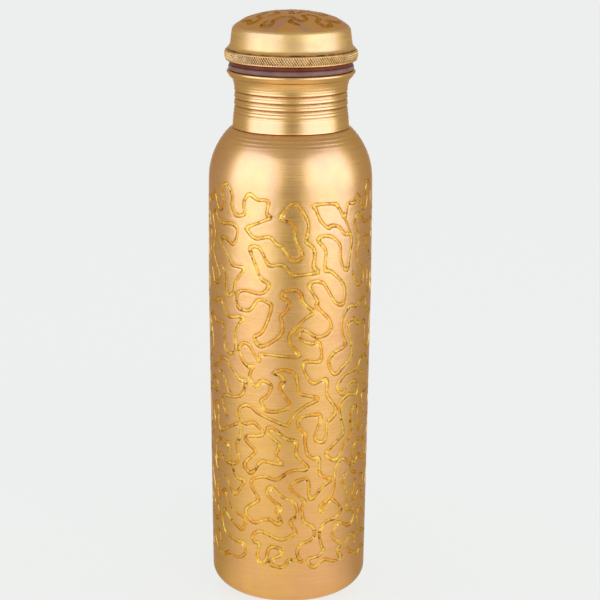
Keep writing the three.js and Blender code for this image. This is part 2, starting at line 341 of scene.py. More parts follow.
def line_widths(line, chance):
    """Half widths along a line: a slow wander, and wider where the line turns sharply."""
    turn = np.zeros(len(line))
    step = np.diff(line, axis=0)
    heading = np.unwrap(np.arctan2(step[:, 1], step[:, 0]))
    turn[1:-1] = np.minimum(1, np.abs(np.diff(heading)) / SHARP_TURN)
    wander = np.array([chance.uniform(-1, 1) for _ in line])
    for _ in range(2):
        wander = np.convolve(np.pad(wander, 1, mode="edge"), [0.25, 0.5, 0.25], "valid")
        turn = np.convolve(np.pad(turn, 1, mode="edge"), [0.25, 0.5, 0.25], "valid")
    return HALF_WIDTH * (1 + WIDTH_WANDER * wander + WIDTH_AT_TURNS * turn)


def engrave(lines, outline, inside, filler):
    """Meshes a flat region with engraved lines in it. lines holds (points, half widths) pairs and
    outline the region's closed border. Gives the points, the triangles, and for each point its
    distance outside the nearest line's edge, negative in the groove."""
    samples = []
    for line, widths in lines:
        along = np.r_[0, np.cumsum(np.hypot(*np.diff(line, axis=0).T))]
        fine = np.arange(0, along[-1], 0.15)
        columns = (line[:, 0], line[:, 1], widths)
        samples.append(np.column_stack([np.interp(fine, along, v) for v in columns]))
    samples = np.vstack(samples)
    tree = KDTree(len(samples))
    for i, (x, y, _) in enumerate(samples):
        tree.insert((x, y, 0), i)
    tree.balance()

    def outside(x, y):
        near = tree.find_n((x, y, 0), 3)
        return min(distance - samples[index, 2] for _, index, distance in near)

    points = []
    edges = []

    def chain(path, closed=False):
        start = len(points)
        points.extend(Vector((float(x), float(y))) for x, y in path)
        edges.extend((i, i + 1) for i in range(start, len(points) - 1))
        if closed:
            edges.append((len(points) - 1, start))

    chain(outline, closed=True)
    loose = []
    for line, widths in lines:
        step = np.gradient(line, axis=0)
        normal = np.column_stack([-step[:, 1], step[:, 0]]) / np.hypot(*step.T)[:, None]
        w = widths[:, None]
        chain(line)
        for inset in (0.0, GROOVE_WALL):
            left = line + normal * (w - inset)
            right = line - normal * (w - inset)
            tip = []
            for end, sign in ((-1, 1), (0, -1)):
                n = normal[end]
                ahead = np.array([n[1], -n[0]]) * sign
                tip.append([line[end] + (n * math.cos(a) * sign + ahead * math.sin(a)) * (w[end] - inset)
                            for a in (math.pi / 4, math.pi / 2, 3 * math.pi / 4)])
            chain(np.vstack([left, tip[0], right[::-1], tip[1]]), closed=True)
        for out in (RIM_OUT, RIM_END):
            for side in (1, -1):
                loose += [(p, out) for p in line + side * normal * (w + out)]
    for (x, y), out in loose:
        if inside(x, y) and outside(x, y) > out - RIM_SLACK:
            points.append(Vector((float(x), float(y))))
    for x, y in filler:
        if inside(x, y) and outside(x, y) > RIM_END + FILLER_CLEAR:
            points.append(Vector((float(x), float(y))))
    flat, _, triangles, _, _, _ = delaunay_2d_cdt(points, edges, [], 0, 1e-5, False)
    kept = []
    for t in triangles:
        x, y = sum((flat[i] for i in t), Vector((0, 0))) / 3
        if inside(x, y, border=True):
            kept.append(tuple(t))
    used = sorted({i for t in kept for i in t})
    renumber = {old: new for new, old in enumerate(used)}
    flat = [flat[i] for i in used]
    kept = [tuple(renumber[i] for i in t) for t in kept]
    return flat, kept, [outside(p.x, p.y) for p in flat]


def groove_height(gap):
    """Height of the surface where a point lies gap outside a line's edge."""
    if gap >= RIM_END:
        return 0.0
    if gap >= 0:
        if gap < RIM_OUT:
            return RIM_H * math.sin(gap / RIM_OUT * math.pi / 2)
        return RIM_H * (0.5 + 0.5 * math.cos((gap - RIM_OUT) / (RIM_END - RIM_OUT) * math.pi))
    if gap > -GROOVE_WALL:
        return -GROOVE_DEPTH * -gap / GROOVE_WALL
    middle = min(1.0, (-gap - GROOVE_WALL) / (HALF_WIDTH - GROOVE_WALL))
    return -GROOVE_DEPTH + FILL_CROWN * (1 - (1 - middle) ** 2)


def groove_kinds(triangles, gaps):
    """FILL for the triangles that lie in a groove and MAIN for the others."""
    return [FILL if sum(gaps[i] for i in t) / 3 < -0.02 else MAIN for t in triangles]


def edge_mark(gap):
    """Weight of the painted shade: 1 on the groove's side, fading to 0 on the fill and on the metal beside
    it.
    """
    return max(0.0, 1 - abs(gap + GROOVE_WALL / 2) / (GROOVE_WALL * 1.3))


# ---- the drawn shell ----

RIPPLE_FROM_Z = 206               # turning marks run round the top of the shoulder from here up
RIPPLE_H = 0.07
RIPPLE_PITCH = 1.5
RIPPLE_STEP = 0.3                 # spacing of the rings that draw the marks


def side_radius(z):
    """Outer radius of the shell's side between the heel and the throat."""
    if z <= TAPER_TOP_Z:
        return HEEL_R + (BODY_R - HEEL_R) * (z - HEEL_H) / (TAPER_TOP_Z - HEEL_H)
    if z <= SHOULDER_ARC_Z:
        return BODY_R
    return BODY_R - SHOULDER_ARC_R + math.sqrt(SHOULDER_ARC_R**2 - (z - SHOULDER_ARC_Z) ** 2)


def body_lines():
    """The meander's lines on the unrolled side, for one panel and the ones beside it."""
    chance = random.Random(11)
    per_degree = math.radians(1) * BODY_R
    half = PANEL_DEG / 2 * per_degree
    lines = []
    for route in routes(MEANDERS):
        line = smooth_line([(deg * per_degree, z) for deg, z in route], LINE_STEP)
        widths = line_widths(line, chance)
        for turn in (-1, 0, 1):
            moved = line + np.array([turn * 2 * half, 0.0])
            if moved[:, 0].max() > -half - 3 and moved[:, 0].min() < half + 3:
                lines.append((moved, widths))
    return lines, half


def engraved_side(build):
    lines, half = body_lines()
    low, high = ENGRAVED_Z
    across = SIDES // PANELS
    up = round((high - low) / 2)
    ends = [half * (2 * i / across - 1) for i in range(across)]
    climb = [low + (high - low) * i / up for i in range(up)]
    outline = ([(x, low) for x in ends] + [(half, z) for z in climb]
               + [(-x, high) for x in ends] + [(-half, low + high - z) for z in climb])

    def inside(x, z, border=False):
        m = 0.0 if border else BORDER_CLEAR
        return abs(x) < half - m and low + m < z < high - m

    rows = round((high - low) / (FILLER_STEP * 0.87))
    columns = round(2 * half / FILLER_STEP)
    filler = [(half * (2 * (i + 0.5 * (j % 2)) / columns - 1), low + (high - low) * j / rows)
              for j in range(1, rows) for i in range(columns + 1)]
    flat, triangles, gaps = engrave(lines, outline, inside, filler)
    kinds = groove_kinds(triangles, gaps)
    edge = [edge_mark(g) for g in gaps]
    for panel in range(PANELS):
        points = []
        for p, gap in zip(flat, gaps):
            a = p.x / BODY_R + math.radians(PANEL_DEG) * panel
            r = side_radius(p.y) + groove_height(gap)
            points.append((r * math.sin(a), -r * math.cos(a), p.y))
        build.add(points, triangles, kinds, edge)


def spin_ripple(z):
    """How far the turning marks stand out at height z."""
    fade = max(0.0, min(1.0, (z - RIPPLE_FROM_Z) / 4))
    return RIPPLE_H * fade * math.sin(z * 2 * math.pi / RIPPLE_PITCH)


def body_shell(materials):
    build = Build()
    low, high = ENGRAVED_Z
    dish = [(0, DISH_H), (3, DISH_H), (STAND_IN_R - 3, DISH_H - 0.15), (STAND_IN_R - 1, 0.45),
            (STAND_IN_R, 0)]
    heel = arc(STAND_OUT_R, HEEL_H, HEEL_R - STAND_OUT_R, HEEL_H, -90, 0, 26)
    turned(build, dish + heel + [(side_radius(15.5), 15.5), (side_radius(low), low)])
    engraved_side(build)
    z_end = SHOULDER_ARC_Z + SHOULDER_ARC_R * math.sin(math.radians(SHOULDER_END_DEG))
    fine_z = 206.5
    rise = [high, 196, 198, 200, 202, 204, 205.5]
    rise += [fine_z + RIPPLE_STEP * i for i in range(int((z_end - fine_z) / RIPPLE_STEP) + 1)]
    shoulder = [(side_radius(z) + spin_ripple(z), z) for z in rise]
    shoulder += [(side_radius(z_end) - 0.25, z_end + 0.15), (UPSTAND_R + 0.3, SLEEVE_Z - 0.15),
                 (UPSTAND_R, SLEEVE_Z + 0.1), (UPSTAND_R, THROAT_TOP_Z), (BORE_R, THROAT_TOP_Z)]
    inner = [(BORE_R, 212.6), (BORE_R + 0.4, 211.9), (BORE_R + 1.4, 211.6)]
    descent = (211.2, 208, 204, 200, 195, SHOULDER_ARC_Z, TAPER_TOP_Z)
    inner += [(side_radius(z) - WALL * 1.1, z - 0.35) for z in descent]
    inner += [(r - WALL, z + WALL * (1 - z / HEEL_H)) for r, z in reversed(heel[2::3])]
    inner += [(STAND_OUT_R, WALL), (STAND_IN_R, WALL), (STAND_IN_R - 3, DISH_H + WALL),
              (0, DISH_H + WALL)]
    outer_bands = len(shoulder) - 1

    def band_kind(band):
        return MAIN if band < outer_bands else INSIDE

    turned(build, shoulder + inner, kind_of=band_kind)
    return build.piece("bottle_shell", materials)


# ---- the neck and the mouth ----

# The neck's outline as (height, radius), and the grooves cut into it as (height, depth, half width).
NECK_LINE = [(213.55, 25.55), (217.5, 25.3), (221, 24.85), (228.6, 24.7), (230.2, 24.85), (231.3, 25.02),
             (232.7, 25.4)]
DEEP = 0.42
NECK_GROOVES = [(219.4, 0.2, 0.3), (222.4, DEEP, 0.36), (225.5, DEEP, 0.36), (228.6, DEEP, 0.36),
                (220.9, 0.16, 0.22), (224.0, 0.16, 0.22), (227.1, 0.16, 0.22), (218.3, 0.07, 0.2),
                (231.0, 0.07, 0.2), (232.3, 0.05, 0.2)]
SLEEVE_BORE_R = 23.75
COLLAR_ROOT_Z = 234.5             # the crease where the flare meets the collar's plate


def neck_radius(z):
    """The neck's radius: a deep groove slopes more gently below its middle than above it, and
    every groove has a slight ridge above."""
    r = float(np.interp(z, [p[0] for p in NECK_LINE], [p[1] for p in NECK_LINE]))
    for middle, depth, half in NECK_GROOVES:
        below = 2.1 if depth == DEEP and z < middle else 1.0
        r -= depth * math.exp(-((z - middle) / half / below) ** 2 * 1.6)
        r += 0.3 * depth * math.exp(-((z - middle - half * 1.9) / half) ** 2 * 1.6)
    return r


def neck_groove_shade(_, z):
    """Painted shade in the grooves and in the crease under the collar's plate."""
    if z > 232:
        return 0.55 * math.exp(-((z - COLLAR_ROOT_Z) / 0.3) ** 2)
    return min(1.0, sum(2.4 * depth * math.exp(-((z - middle) / half / 1.1) ** 2)
                        for middle, depth, half in NECK_GROOVES))


def neck_sleeve(materials):
    build = Build()
    rise = np.arange(NECK_LINE[0][0], NECK_LINE[-1][0], 0.16)
    flare = smooth_line([(25.42, 232.8), (25.72, 233.5), (26.15, 234.2)], 0.3)
    plate = smooth_line([(26.25, COLLAR_ROOT_Z), (26.85, 234.8), (27.6, 235.85)], 0.25)
    rim = arc(COLLAR_R - 0.62, COLLAR_Z - 0.75, 0.62, 0.75, -60, 90, 12)
    outline = [(SLEEVE_BORE_R, SLEEVE_Z), (25.7, SLEEVE_Z), (25.85, SLEEVE_Z + 0.12),
               (25.8, SLEEVE_Z + 0.4)]
    outline += [(neck_radius(z), z) for z in rise]
    outline += [tuple(p) for p in flare] + [tuple(p) for p in plate] + rim
    outline += [(25.2, COLLAR_Z), (24.9, COLLAR_Z - 0.06), (SLEEVE_BORE_R + 0.3, COLLAR_Z - 0.06),
                (SLEEVE_BORE_R, COLLAR_Z - 0.35), (SLEEVE_BORE_R, SLEEVE_Z)]
    turned(build, outline, mark=neck_groove_shade)
    return build.piece("neck", materials)


def thread(a, z, crest, root, first_z):
    """How far a right-handed thread's ridge stands out from its root at angle a and height z."""
    t = (a / (2 * math.pi) - 0.25) % 1.0
    for k in range(3):
        turn = t + k
        off = abs(z - first_z - PITCH * turn)
        if turn <= THREAD_TURNS and off < RIDGE_HALF:
            fade = min(1.0, turn / RIDGE_FADE, (THREAD_TURNS - turn) / RIDGE_FADE)
            return (crest - root) * fade * min(1.0, (RIDGE_HALF - off) / RIDGE_FLANK)
    return 0.0


def mouth_ring(materials):
    build = Build()
    fit_top = MOUTH_Z + MOUTH_FIT_H
    lip_r = MOUTH_ROOT_R - LIP_R
    lip_z = MOUTH_TOP_Z - LIP_R
    outline = [(BORE_R, MOUTH_Z), (UPSTAND_R, MOUTH_Z), (UPSTAND_R, fit_top),
               (MOUTH_ROOT_R, fit_top + 0.4)]
    outline += [(MOUTH_ROOT_R, float(z)) for z in np.arange(239, lip_z - 0.4, THREAD_STEP)]
    outline += arc(lip_r, lip_z, LIP_R, LIP_R, 0, 200, 16)
    outline += [(BORE_R, lip_z - 1.6), (BORE_R, MOUTH_Z)]

    def ridge(a, z):
        if THREAD_Z - 1 < z < THREAD_Z + PITCH * THREAD_TURNS + 1:
            return thread(a, z, OUTER_CREST_R, MOUTH_ROOT_R, THREAD_Z)
        return 0.0

    turned(build, outline, height=ridge)
    return build.piece("mouth", materials, sharp_deg=50)


GASKET_WIDTH = 3.95
GASKET_ROUND = 0.85
SQUEEZE = 0.22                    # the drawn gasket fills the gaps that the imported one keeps


def neck_gasket(materials):
    build = Build()
    r_in = GASKET_R - GASKET_WIDTH + GASKET_ROUND
    r_out = GASKET_R - GASKET_ROUND
    low = GASKET_Z - SQUEEZE + GASKET_ROUND
    high = GASKET_TOP_Z + SQUEEZE - GASKET_ROUND
    outline = []
    for r, z, start in ((r_out, low, -90), (r_out, high, 0), (r_in, high, 90), (r_in, low, 180)):
        outline += arc(r, z, GASKET_ROUND, GASKET_ROUND, start, start + 90, 6)
    turned(build, outline + outline[:1])
    return build.piece("gasket", materials)


# ---- the cap ----

KNURL_TEETH = 160
KNURL_SIDES = 4 * SIDES           # straight sides of the knurled band
KNURL_DEPTH = 0.55
KNURL_SLANT = 1.7                 # height in which a cut moves along by one tooth
KNURL_Z = (242.5, 246.45)
BEAD_TOP_Z = 247.1
BEAD_ROUND = 1.1                  # how far the bead's edges fall back from its middle
DOME_EDGE_R = 24.0                # the border between the dome and the rounded edge of the skirt
DOME_FOOT_Z = 256.3               # the dome's colour turns browner above this
DOME_GRID = (1.6, 1.4)            # spacing of the dome's loose mesh points, across and up
DOME_LINE = smooth_line([(-7, 263), (0, 263.3), (7, 263), (13, 262.15), (17.5, 260.9), (20.6, 259.7),
                         (22.5, 258.6), (24.1, 257.6), (24.6, 257.2)], 0.3)
CAP_INSIDE = [(0, CAP_TOP_Z - WALL), (7, 262.2), (13, 261.35), (20, 259.2), (23.6, 257.7), (24.8, 256.4),
              (25.5, 254), (25.5, 246.5)]


def bead_radius(z):
    middle = (BEAD_Z + BEAD_TOP_Z) / 2
    half = BEAD_TOP_Z - middle
    return BEAD_R - BEAD_ROUND * abs((z - middle) / half) ** 3.2


def knurl(a, z):
    """Crossed diagonal cuts, the ones that fall to the right deeper than the others."""
    fade = max(0.0, min(1.0, (z - KNURL_Z[0]) / 0.4, (KNURL_Z[1] - z) / 0.4))
    slant = KNURL_TEETH * a
    rise = 2 * math.pi * z / KNURL_SLANT
    fall = abs((slant + rise) / math.pi % 2 - 1)
    climb = abs((slant - rise) / math.pi % 2 - 1)
    return -KNURL_DEPTH * fade * (0.75 * fall + 0.35 * climb)


def knurl_cut_shade(a, z):
    """Painted shade in the bottoms of the knurl's cuts."""
    return min(1.0, max(0.0, -2.6 * knurl(a, z) / KNURL_DEPTH - 0.7))


def dome_height(r):
    """Height of the dome's surface at radius r."""
    return float(np.interp(r, DOME_LINE[:, 0], DOME_LINE[:, 1]))


def engraved_dome(build):
    chance = random.Random(5)
    lines = []
    for route in routes(DOME_LINES):
        line = smooth_line(route, LINE_STEP)
        lines.append((line, line_widths(line, chance)))
    outline = [(x, y) for x, y, _ in circle(DOME_EDGE_R, 0, SIDES)]

    def inside(x, y, border=False):
        return border or math.hypot(x, y) < DOME_EDGE_R - BORDER_CLEAR

    across, up = DOME_GRID
    span = int(DOME_EDGE_R / across)
    filler = [(across * (i + 0.5 * (j % 2)), up * j) for i in range(-span, span + 1)
              for j in range(-span - 2, span + 3)]
    flat, triangles, gaps = engrave(lines, outline, inside, filler)
    points = []
    for p, gap in zip(flat, gaps):
        r = math.hypot(p.x, p.y)
        cut = groove_height(gap) if r < DOME_EDGE_R - 0.01 else 0.0
        points.append((p.x, p.y, dome_height(r) + cut))
    build.add(points, triangles, groove_kinds(triangles, gaps), [edge_mark(g) for g in gaps])


def cap_shell(materials):
    build = Build()
    z_low, z_high = KNURL_Z
    knurled = [float(z) for z in np.linspace(z_low, z_high, 25)]
    start = [(25.5, 246.5), (25.5, BEAD_Z + 0.4), (25.8, BEAD_Z), (28.1, BEAD_Z), (28.6, BEAD_Z + 0.08)]
    turned(build, start)
    seam(build, start[-1][1], start[-1][0], SIDES, z_low, bead_radius(z_low), KNURL_SIDES)
    turned(build, [(bead_radius(z), z) for z in knurled], KNURL_SIDES, height=knurl, mark=knurl_cut_shade)
    above = z_high + 0.1
    crease = above + 0.25
    seam(build, above, bead_radius(z_high) - 0.2, SIDES, knurled[-1], bead_radius(knurled[-1]), KNURL_SIDES)
    side = smooth_line([(27.95, 247.4), (27.35, 248.0), (26.95, 248.7), (26.6, 250.2), (26.3, 252.7),
                        (26.1, 254.3)], 0.4)
    corner = smooth_line([(26.0, 254.9), (25.75, 255.8), (25.3, 256.5)], 0.2)
    skirt = [(bead_radius(z_high) - 0.2, above), (28.0, crease), (28.05, crease + 0.12),
             (28.2, crease + 0.25)]
    skirt += [tuple(p) for p in side] + [tuple(p) for p in corner]
    skirt += [(25.15, 256.7), (24.85, 256.85)]
    skirt += [(float(r), dome_height(r)) for r in (24.3, DOME_EDGE_R)]

    # painted shade in the crease above the bead
    def crease_shade(_, z):
        return math.exp(-((z - crease - 0.2) / 0.55) ** 2)

    turned(build, skirt, mark=crease_shade)
    engraved_dome(build)
    turned(build, CAP_INSIDE, kind=INSIDE)
    return build.piece("cap", materials)


def cap_liner(materials):
    build = Build()
    ceiling = LINER_TOP_Z - 0.8
    outline = [(0, ceiling), (8, ceiling), (16, ceiling), (LINER_ROOT_R - 0.4, ceiling)]
    outline += [(LINER_ROOT_R, float(z)) for z in np.arange(ceiling, FLANGE_Z + 0.6, -THREAD_STEP)]
    outline += [(LINER_ROOT_R, FLANGE_Z + 0.4), (LINER_ROOT_R + 0.3, FLANGE_Z)]
    outline += arc(FLANGE_R - 0.45, FLANGE_Z + 0.45, 0.45, 0.45, -90, 0, 6)
    outline += arc(FLANGE_R - 0.45, FLANGE_Z + 1.25, 0.45, 0.45, 0, 90, 6)
    outline += [(LINER_R, FLANGE_Z + 1.75), (LINER_R, 253.7), (24.5, 256.1), (23.2, LINER_TOP_Z),
                (0, LINER_TOP_Z)]
    first = THREAD_Z + PITCH / 2

    def ridge(a, z):
        if first - 1 < z < first + PITCH * THREAD_TURNS + 1:
            return thread(a, z, INNER_CREST_R, LINER_ROOT_R, first)
        return 0.0

    turned(build, outline, height=ridge)
    return build.piece("cap_insert", materials, sharp_deg=50)


def seal_disc(materials):
    """The sealing disc, with two low ribs on its face."""
    build = Build()
    level = SEAL_Z + 0.25
    outline = [(0, level), (4, level), (4.6, SEAL_Z), (5.6, SEAL_Z), (6.2, level)]
    outline += [(18.6, level), (19.2, SEAL_Z), (20, SEAL_Z), (20.6, level), (21, level)]
    outline += arc(SEAL_R - 0.5, SEAL_Z + 0.5, 0.5, 0.5, -90, 0, 5)
    outline += arc(SEAL_R - 0.5, SEAL_TOP_Z - 0.5, 0.5, 0.5, 0, 90, 5)
    outline += [(0, SEAL_TOP_Z)]
    turned(build, outline)
    return build.piece("seal", materials)


# ---- materials ----

RECESS_SHADE = (0.14, 0.045, 0.006)      # colour of the shade painted on the sides of the engraved lines and in grooves and creases
COVER = 0.12
GRAIN_H = 0.00003                 # height of silicone's and plastic's grain, in metres


def add_node(tree, kind, inputs=(), **settings):
    """Adds a node. inputs gives each input's value, or the socket that it is linked from."""
    node = tree.nodes.new(kind)
    for key, value in settings.items():
        setattr(node, key, value)
    for key, value in dict(inputs).items():
        if isinstance(value, bpy.types.NodeSocket):
            tree.links.new(value, node.inputs[key])
        else:
            node.inputs[key].default_value = value
    return node


class Paint:
    """A Principled material and short calls that add nodes to it."""

    def __init__(self, name, **sockets):
        self.material = bpy.data.materials.new(name)
        self.material.use_nodes = True
        self.tree = self.material.node_tree
        self.shader = self.tree.nodes["Principled BSDF"]
        for label, value in sockets.items():
            self.shader.inputs[label.replace("_", " ")].default_value = value
        self.where = self.node("ShaderNodeTexCoord").outputs["Object"]

    def node(self, kind, inputs=(), **settings):
        return add_node(self.tree, kind, inputs, **settings)

    def maths(self, operation, a, b=0.0):
        return self.node("ShaderNodeMath", {0: a, 1: b}, operation=operation).outputs[0]

    def noise(self, stretch, detail=2.0, rough=0.5):
        """Noise of the given number of waves per metre along x, y and z."""
        place = self.node("ShaderNodeVectorMath", {0: self.where, 1: stretch}, operation="MULTIPLY")
        inputs = {"Vector": place.outputs[0], "Scale": 1.0, "Detail": detail, "Roughness": rough}
        return self.node("ShaderNodeTexNoise", inputs).outputs["Fac"]

    def span(self, value, low, high, low_out=0.0, high_out=1.0):
        inputs = {"Value": value, "From Min": low, "From Max": high, "To Min": low_out, "To Max": high_out}
        return self.node("ShaderNodeMapRange", inputs).outputs["Result"]

    def mix(self, factor, a, b):
        return self.node("ShaderNodeMix", {0: factor, 6: a, 7: b}, data_type="RGBA").outputs[2]

    def bump(self, height, distance, strength=1.0, normal=None):
        inputs = {"Height": height, "Distance": distance, "Strength": strength}
        if normal is not None:
            inputs["Normal"] = normal
        return self.node("ShaderNodeBump", inputs).outputs["Normal"]

    def set(self, **values):
        for label, socket in values.items():
            self.tree.links.new(socket, self.shader.inputs[label.replace("_", " ")])


def rgb(r, g, b):
    return (r, g, b, 1.0)


def brushing(paint):
    """Fine streaks that run round the axis, on the sides and on level faces alike."""
    side = paint.noise((45, 45, 4200), 3)
    around = paint.node("ShaderNodeSeparateXYZ", {0: paint.where})
    square = paint.maths("ADD", paint.maths("MULTIPLY", around.outputs[0], around.outputs[0]),
                         paint.maths("MULTIPLY", around.outputs[1], around.outputs[1]))
    reach = paint.maths("MULTIPLY", paint.maths("SQRT", square), 3800)
    slow = paint.node("ShaderNodeVectorMath", {0: paint.where, 1: (45, 45, 45)}, operation="MULTIPLY")
    place = paint.node("ShaderNodeCombineXYZ", {2: reach})
    total = paint.node("ShaderNodeVectorMath", {0: slow.outputs[0], 1: place.outputs[0]}, operation="ADD")
    level = paint.node("ShaderNodeTexNoise", {"Vector": total.outputs[0], "Scale": 1.0, "Detail": 3.0})
    normal = paint.node("ShaderNodeNewGeometry").outputs["True Normal"]
    upward = paint.maths("ABSOLUTE", paint.node("ShaderNodeSeparateXYZ", {0: normal}).outputs[2])
    share = paint.span(upward, 0.55, 0.8)
    mixed = paint.node("ShaderNodeMix", {0: share, 2: side, 3: level.outputs["Fac"]})
    return mixed.outputs[0]


def recess_shade(paint, low, cover):
    """Patchy painted shade where the mesh's edge attribute is over low: the darkening of groove
    sides, groove bottoms and creases. cover is its share in the gaps between the patches."""
    mark = paint.node("ShaderNodeAttribute", attribute_name="edge").outputs["Fac"]
    patch_share = paint.span(paint.noise((330, 330, 330), 2, 0.6), 0.4, 0.62, cover, 1.0)
    return paint.maths("MULTIPLY", paint.span(mark, low, 0.95), patch_share)


def copper(name, golden, pink, rough, spots=0.35, streaks=1.0, dull=0.0, brown_above=None,
           recess_shade_color=RECESS_SHADE, cover=COVER):
    """Satin copper under a clear lacquer, brushed round, with warmer and pinker patches. dull adds
    a brown haze, brown_above turns it browner above that height, and the next argument is the
    colour of the shade painted into its grooves and creases."""
    paint = Paint(name, Metallic=1.0, Coat_Weight=0.3, Coat_Roughness=0.1,
                  Specular_Tint=rgb(0.86, 0.62, 0.36))
    streak = brushing(paint)
    patch = paint.noise((22, 22, 16), 4, 0.6)
    cloud = paint.noise((160, 160, 110), 3, 0.6)
    color = paint.mix(paint.span(patch, 0.38, 0.66), golden, pink)
    deeper_pink = rgb(*(0.8 * c for c in pink[:3]))
    color = paint.mix(paint.span(cloud, 0.3, 0.75, 0.0, 0.3), color, deeper_pink)
    color = paint.mix(paint.span(streak, 0.3, 0.7, 0.16 * streaks, 0.0), color, rgb(0.32, 0.13, 0.04))
    if dull:
        haze = paint.span(paint.noise((75, 75, 200), 3, 0.55), 0.42, 0.62, 0.0, dull)
        color = paint.mix(haze, color, rgb(0.62, 0.34, 0.15))
    if brown_above:
        height = paint.node("ShaderNodeSeparateXYZ", {0: paint.where}).outputs[2]
        crown = paint.span(height, brown_above * MM, (brown_above + 1.2) * MM)
        warm = paint.span(paint.noise((90, 90, 90), 3, 0.6), 0.35, 0.6, 0.55, 1.0)
        color = paint.mix(paint.maths("MULTIPLY", crown, warm), color, rgb(0.82, 0.36, 0.08))
        mauve_patch = paint.span(paint.noise((70, 70, 40), 2, 0.5), 0.5, 0.62, 0.0, 0.55)
        color = paint.mix(paint.maths("MULTIPLY", crown, mauve_patch), color, rgb(0.6, 0.32, 0.2))
    speck = paint.noise((1500, 1500, 1500), 2, 0.7)
    color = paint.mix(paint.span(speck, 0.62, 0.75, 0.0, spots), color, rgb(0.3, 0.14, 0.05))
    # painted shade in the grooves and creases that the edge attribute marks
    dark = recess_shade(paint, 0.25, cover)
    color = paint.mix(dark, color, rgb(*recess_shade_color))
    base = paint.span(streak, 0.3, 0.7, rough - 0.05, rough + 0.07)
    clouded = paint.maths("ADD", base, paint.span(cloud, 0.3, 0.7, -0.03, 0.04))
    normal = paint.bump(streak, 0.00002, 0.35 * streaks)
    normal = paint.bump(patch, 0.0012, 0.12, normal)
    paint.set(Base_Color=color, Roughness=paint.maths("ADD", clouded, paint.maths("MULTIPLY", dark, 0.2)),
              Normal=normal)
    return paint.material


def gold_fill(name, amber, deep=0.0):
    """The fill of the engraved lines: fine gold grains with amber patches and brown pitting, partly
    real and partly a painted dark reflection of grains that face the darker room. deep is the
    least share of amber."""
    paint = Paint(name, Metallic=1.0, Coat_Weight=0.15, Coat_Roughness=0.12,
                  Specular_Tint=rgb(0.95, 0.66, 0.2))
    cells = paint.node("ShaderNodeTexVoronoi", {"Vector": paint.where, "Scale": 1700.0, "Randomness": 1.0})
    facets = paint.node("ShaderNodeTexVoronoi", {"Vector": paint.where, "Scale": 1100.0}, feature="F1")
    tone = paint.node("ShaderNodeSeparateXYZ", {0: cells.outputs["Color"]}).outputs[0]
    color = paint.mix(tone, rgb(0.88, 0.48, 0.04), rgb(0.96, 0.63, 0.1))
    share = paint.span(paint.noise((240, 240, 240), 2, 0.6), 0.34, 0.6)
    color = paint.mix(paint.maths("MAXIMUM", share, deep), color, amber)
    # brown spots: partly pitting, partly painted dark reflection of grains facing the darker room
    pits_and_dark_reflection = paint.span(paint.noise((420, 420, 420), 2, 0.7), 0.6, 0.68)
    color = paint.mix(paint.maths("MULTIPLY", pits_and_dark_reflection, 0.8), color, rgb(0.1, 0.035, 0.006))
    # painted shade down the groove's sides
    color = paint.mix(recess_shade(paint, 0.35, COVER), color, rgb(*RECESS_SHADE))
    height = paint.maths("ADD", cells.outputs["Distance"], facets.outputs["Distance"])
    paint.set(Base_Color=color, Roughness=paint.span(tone, 0.0, 1.0, 0.3, 0.46),
              Normal=paint.bump(height, 0.00022, 0.3))
    return paint.material


def bare_inside(name):
    """The untreated inside of the drawn copper: pinker and duller, with faint stains."""
    paint = Paint(name, Metallic=1.0)
    streak = brushing(paint)
    stain = paint.noise((70, 70, 50), 4, 0.6)
    color = paint.mix(paint.span(stain, 0.35, 0.7), rgb(0.82, 0.42, 0.26), rgb(0.62, 0.27, 0.14))
    color = paint.mix(paint.span(streak, 0.3, 0.7, 0.14, 0.0), color, rgb(0.3, 0.12, 0.05))
    paint.set(Base_Color=color, Roughness=paint.span(stain, 0.3, 0.7, 0.36, 0.5),
              Normal=paint.bump(streak, 0.00002, 0.3))
    return paint.material


def soft(name, light, dark, rough, see_through=0.0):
    """Silicone or moulded plastic: a fine grain, slow mottling and a soft sheen."""
    paint = Paint(name, Roughness=rough, Specular_IOR_Level=0.14, Subsurface_Weight=see_through,
                  Subsurface_Scale=0.002)
    mottle = paint.noise((180, 180, 260), 3, 0.6)
    fine = paint.noise((3000, 3000, 3000), 2, 0.6)
    color = paint.mix(paint.span(mottle, 0.35, 0.68), light, dark)
    darker = rgb(*(0.6 * c for c in dark[:3]))
    color = paint.mix(paint.span(fine, 0.6, 0.75, 0.0, 0.4), color, darker)
    wear = paint.maths("ADD", paint.span(mottle, 0.3, 0.7, rough - 0.06, rough + 0.06),
                       paint.span(fine, 0.3, 0.7, -0.04, 0.04))
    paint.set(Base_Color=color, Roughness=wear, Normal=paint.bump(fine, GRAIN_H, 0.5))
    return paint.material


# ---- the pieces ----

fill = gold_fill("gold_fill", rgb(0.78, 0.33, 0.03))
cap_fill = gold_fill("amber_fill", rgb(0.55, 0.2, 0.02), deep=0.75)
inside_copper = bare_inside("bare_copper")
body_copper = copper("lacquered_copper", rgb(0.86, 0.47, 0.1), rgb(0.86, 0.43, 0.15), 0.305)
# the neck's painted groove shade is a lighter, warmer brown
neck_copper = copper("turned_copper", rgb(0.88, 0.51, 0.13), rgb(0.87, 0.47, 0.14), 0.27, spots=0.2,
                     streaks=1.4, recess_shade_color=(0.36, 0.12, 0.012), cover=0.75)
cap_copper = copper("spun_copper", rgb(0.92, 0.555, 0.125), rgb(0.92, 0.51, 0.14), 0.42, spots=0.3,
                    streaks=1.2, dull=0.3, brown_above=DOME_FOOT_Z, cover=0.5)
mouth_copper = copper("rolled_copper", rgb(0.85, 0.47, 0.16), rgb(0.82, 0.42, 0.18), 0.25, spots=0.2)
